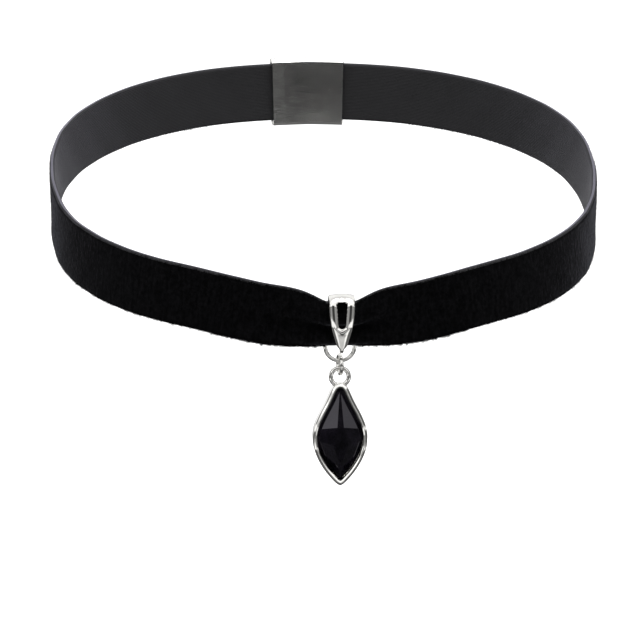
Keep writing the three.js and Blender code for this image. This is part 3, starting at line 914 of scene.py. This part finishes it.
def spline(points, steps):
    """A smooth line through points in a plane, with a number of steps between each two."""
    line = []
    for i in range(len(points) - 1):
        p0 = points[max(i - 1, 0)]
        p1, p2 = points[i], points[i + 1]
        p3 = points[min(i + 2, len(points) - 1)]
        for k in range(steps):
            t = k / steps
            line.append(tuple(
                0.5 * (2 * b + (c - a) * t + (2 * a - 5 * b + 4 * c - d) * t * t
                       + (3 * b - a - 3 * c + d) * t ** 3)
                for a, b, c, d in zip(p0, p1, p2, p3)
            ))
    line.append(points[-1])
    return line


def meet_axis(far, near):
    """Where the line through two points of the half outline crosses the middle."""
    return 0, near[1] - (far[1] - near[1]) * near[0] / (far[0] - near[0])


def drop_ring(inset):
    """The drop's whole outline set in from its edge, in even steps from the top round."""
    half_outline = [(w * DROP_HALF_WIDTH, -d * DROP_LENGTH) for d, w in DROP_OUTLINE]
    fine = spline(half_outline, OUTLINE_FINENESS)
    moved = []
    for i, (x, z) in enumerate(fine):
        way_x, way_z = direction(fine, i)
        moved.append((x + way_z * inset, z - way_x * inset))
    reach = INSET_KEPT * inset
    kept = [
        p for p in moved
        if p[0] > MIDDLE_CLEAR
        and all(math.hypot(p[0] - x, p[1] - z) >= reach for x, z in fine)
    ]
    half = [meet_axis(kept[1], kept[0])] + kept + [meet_axis(kept[-2], kept[-1])]
    lengths = [0]
    for a, b in zip(half, half[1:]):
        lengths.append(lengths[-1] + math.hypot(b[0] - a[0], b[1] - a[1]))
    even = []
    i = 0
    for k in range(OUTLINE_STEPS + 1):
        want = lengths[-1] * k / OUTLINE_STEPS
        while i < len(half) - 2 and lengths[i + 1] < want:
            i += 1
        part = (want - lengths[i]) / max(lengths[i + 1] - lengths[i], 1e-9)
        a, b = half[i], half[i + 1]
        even.append((a[0] + (b[0] - a[0]) * part, a[1] + (b[1] - a[1]) * part))
    return even + [(-x, z) for x, z in even[-2:0:-1]]


# Inset from the outline, and how far forward: a rim that slopes away on both sides of a low ridge
SETTING_PROFILE = [
    (2.0, SETTING_BACK), (0.7, SETTING_BACK), (0.28, SETTING_BACK + 0.02),
    (0.11, SETTING_BACK + 0.1), (0.03, SETTING_BACK + 0.27), (0, SETTING_BACK + 0.6),
    (0, SETTING_RIM - 0.75), (0.005, SETTING_RIM - 0.5), (0.03, SETTING_RIM - 0.38),
    (0.08, SETTING_RIM - 0.3), (0.18, SETTING_RIM - 0.225), (0.3, SETTING_RIM - 0.14),
    (0.42, SETTING_RIM - 0.055), (0.48, SETTING_RIM - 0.01), (0.52, SETTING_RIM),
    (0.57, SETTING_RIM - 0.01), (0.66, SETTING_RIM - 0.07), (0.76, SETTING_RIM - 0.14),
    (0.85, SETTING_RIM - 0.21), (0.9, SETTING_RIM - 0.27), (0.91, SETTING_RIM - 0.33),
    (SETTING_WALL, SETTING_RIM - 0.5),
    (SETTING_WALL, SETTING_BACK + SETTING_FLOOR), (1.2, SETTING_BACK + SETTING_FLOOR),
    (2.0, SETTING_BACK + SETTING_FLOOR),
]
# The loop's lower arc is buried in the setting, up to this angle from its bottom
LOOP_BURIED = 30


def setting_piece():
    """The closed setting with its rim, and the loop soldered on top."""
    sections = []
    for inset, out in SETTING_PROFILE:
        sections.append([DROP_TOP + Vector((x, -out, z)) for x, z in drop_ring(inset)])
    points, faces = skin(sections)
    centre = DROP_TOP + Vector((0, 0, LOOP_UP))
    loop = torus(centre, (0, 1, 0), DROP_LOOP_OUTER, DROP_LOOP_WIRE, cut=LOOP_BURIED)
    add_part(points, faces, loop)
    mesh = outward(mesh_from('setting_polished', points, faces))
    return new_object('setting_polished', mesh, SILVER)


setting = setting_piece()
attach(setting, 'drop')
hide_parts('pendant_setting')


# CAD nodes that stay
CLASP_EDGE = 0.15


def dress(name, finish):
    """Gives a CAD node its material."""
    node = NODES[name]
    node.data.materials.clear()
    node.data.materials.append(finish)


dress('pendant_stone', JET)
dress('clasp', CLASP_SILVER)
soft_edges = NODES['clasp'].modifiers.new('edges', 'BEVEL')
soft_edges.width = CLASP_EDGE * MM
soft_edges.segments = 3
soft_edges.limit_method = 'ANGLE'
soft_edges.angle_limit = math.radians(25)


# Floor, light and camera, in metres
FLOOR_Z = -0.16
FLOOR_HALF = 3
LIGHT_PLACE = Vector((0.1, -0.2, 0.9))
LIGHT_SIZE = 0.7
LIGHT_POWER = 5
CAMERA_AZIMUTH = -3.8
CAMERA_ELEVATION = 10
CAMERA_DISTANCE = 1.0
CAMERA_LENS = 263.6
CAMERA_SHIFT = (-0.0053, -0.0791)


def build_floor():
    """A pale floor under the piece, which the metal doesn't reflect."""
    signs = ((-1, -1), (1, -1), (1, 1), (-1, 1))
    corners = [(FLOOR_HALF * x, FLOOR_HALF * y, FLOOR_Z) for x, y in signs]
    mesh = bpy.data.meshes.new('pale_floor')
    mesh.from_pydata(corners, [], [(0, 1, 2, 3)])
    made, _, _, shader = material('pale_floor')
    shader.inputs['Base Color'].default_value = (0.9, 0.9, 0.9, 1)
    shader.inputs['Roughness'].default_value = 0.9
    shader.inputs['Emission Color'].default_value = (1, 1, 1, 1)
    shader.inputs['Emission Strength'].default_value = 0.55
    floor = new_object('pale_floor', mesh, made)
    floor.visible_glossy = False


def build_world():
    """A white studio with a dim front, so that metal and stone have something to reflect."""
    world = bpy.data.worlds.new('studio')
    bpy.context.scene.world = world
    world.use_nodes = True
    nodes, links = world.node_tree.nodes, world.node_tree.links
    nodes.clear()
    where = nodes.new('ShaderNodeTexCoord')
    split = nodes.new('ShaderNodeSeparateXYZ')
    links.new(where.outputs['Generated'], split.inputs[0])

    def feed(node, index, value):
        """Sets an input to a number, or links it to a socket."""
        if isinstance(value, (int, float)):
            node.inputs[index].default_value = value
        else:
            links.new(value, node.inputs[index])

    def fade(source, low, high, under, over):
        """One level under a range of the source, another over it, and a soft change between."""
        step = map_range(nodes, links, source, low, high, 0, 1)
        step.interpolation_type = 'SMOOTHSTEP'
        node = add_node(nodes, 'ShaderNodeMix', data_type='FLOAT')
        for index, value in ((0, step.outputs[0]), (2, under), (3, over)):
            feed(node, index, value)
        return node.outputs[0]

    def combine(operation, first, second):
        node = add_node(nodes, 'ShaderNodeMath', operation=operation)
        feed(node, 0, first)
        feed(node, 1, second)
        return node.outputs[0]

    x, y, z = (split.outputs[axis] for axis in 'XYZ')
    aside = combine('ABSOLUTE', x, 0)
    # The softbox on the right reaches lower and is dimmer than the one on the left
    low_edge = combine('ADD', z, combine('MULTIPLY', x, 0.06))
    box = combine('SUBTRACT', 1.2, combine('MULTIPLY', x, 0.28))
    sides = fade(aside, 0.3, 0.5, 0.06, fade(aside, 0.84, 0.9, box, 0.1))
    upper_front = fade(z, 0.32, 0.45, sides, 1.1)
    # Straight ahead it is dark, with a narrow bright strip and two flanks just below
    level = fade(aside, 0.82, 0.9, 0.03, 1.1)
    strip = fade(z, -0.38, -0.34, 0.04, fade(z, -0.27, -0.24, 1.05, 0.04))
    flank = fade(z, -0.46, -0.42, 0.08, fade(z, -0.31, -0.24, 1.1, 0.3))
    under_level = fade(aside, 0.28, 0.42, strip, fade(aside, 0.86, 0.94, flank, 0.1))
    horizon = fade(z, -0.06, 0.0, under_level, level)
    above = fade(low_edge, 0.05, 0.15, horizon, upper_front)
    # The pale ground before the piece, dark at its sides and right under it
    floor_glow = fade(aside, 0.15, 0.35, 0.6, 1.05)
    below = fade(aside, 0.4, 0.5, fade(z, -0.8, -0.66, 0.06, floor_glow), 0.11)
    front = fade(z, -0.52, -0.46, below, above)
    # The bright backdrop and the dim ground behind
    behind = fade(z, 0.7, 0.95, fade(aside, 0.5, 0.8, 1.0, 0.3), 0.75)
    low_back = fade(y, 0.3, 0.45, 0.3, 0.05)
    back = fade(z, -0.3, -0.05, low_back, behind)
    whole = fade(y, 0.05, 0.25, front, back)
    background = nodes.new('ShaderNodeBackground')
    links.new(whole, background.inputs['Strength'])
    background.inputs['Color'].default_value = (1, 1, 1, 1)
    white = nodes.new('ShaderNodeBackground')
    white.inputs['Color'].default_value = (1, 1, 1, 1)
    white.inputs['Strength'].default_value = 1
    path = nodes.new('ShaderNodeLightPath')
    both = nodes.new('ShaderNodeMixShader')
    links.new(path.outputs['Is Camera Ray'], both.inputs[0])
    links.new(background.outputs[0], both.inputs[1])
    links.new(white.outputs[0], both.inputs[2])
    out = nodes.new('ShaderNodeOutputWorld')
    links.new(both.outputs[0], out.inputs['Surface'])


def build_light():
    """One softbox overhead, turned to the origin."""
    light = bpy.data.lights.new('overhead_softbox', 'AREA')
    light.shape = 'DISK'
    light.size = LIGHT_SIZE
    light.energy = LIGHT_POWER
    holder = bpy.data.objects.new('overhead_softbox', light)
    holder.location = LIGHT_PLACE
    holder.rotation_euler = (-LIGHT_PLACE).to_track_quat('-Z', 'Y').to_euler()
    bpy.context.scene.collection.objects.link(holder)


def build_camera():
    """The photo's camera, a long lens turned to the origin and shifted to frame the piece."""
    azimuth, elevation = math.radians(CAMERA_AZIMUTH), math.radians(CAMERA_ELEVATION)
    back = Vector((
        math.sin(azimuth) * math.cos(elevation),
        -math.cos(azimuth) * math.cos(elevation),
        math.sin(elevation),
    ))
    data = bpy.data.cameras.new('camera')
    data.sensor_width = 36
    data.lens = CAMERA_LENS
    data.shift_x, data.shift_y = CAMERA_SHIFT
    data.clip_start = 0.01
    camera = bpy.data.objects.new('camera', data)
    camera.location = back * CAMERA_DISTANCE
    camera.rotation_euler = (-back).to_track_quat('-Z', 'Y').to_euler()
    bpy.context.scene.collection.objects.link(camera)
    bpy.context.scene.camera = camera


build_floor()
build_world()
build_light()
build_camera()
bpy.context.scene.view_settings.view_transform = 'Standard'
